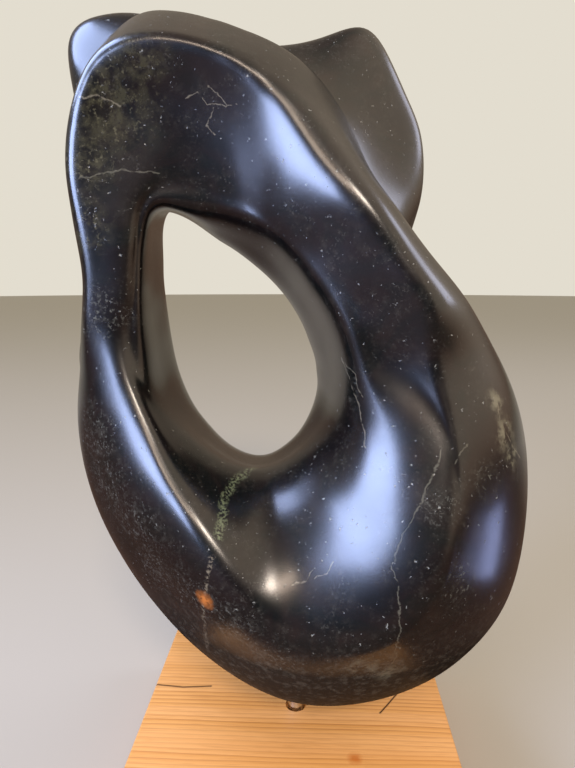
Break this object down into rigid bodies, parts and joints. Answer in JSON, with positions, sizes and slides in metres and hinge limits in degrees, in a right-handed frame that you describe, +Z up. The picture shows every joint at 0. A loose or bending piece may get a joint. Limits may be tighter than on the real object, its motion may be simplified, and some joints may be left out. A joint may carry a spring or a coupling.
{
  "type": "soapstone sculpture",
  "caption": "Polished dark stone abstract carving, a thick twisted loop with a teardrop hole and a winged back lobe, held on a steel pin over a square wooden plinth.",
  "frame": {"origin": "centre of the plinth's underside, on the pin's axis", "axes": "+Z up along the pin, -Y towards the viewer of the carving's front, +X to that viewer's right"},
  "size_m": [0.2269, 0.152, 0.376],
  "materials": {
    "soapstone": "waxed and polished soapstone, near-black with a brown and green cast and fine pale specks",
    "steel": "bright ground steel rod",
    "plinth_wood": "sanded and oiled pale honey softwood with straight grain"
  },
  "bodies": {
    "root": {"carved_stone": "soapstone", "steel_pin": "steel", "wood_plinth": "plinth_wood"}
  },
  "joints": []
}
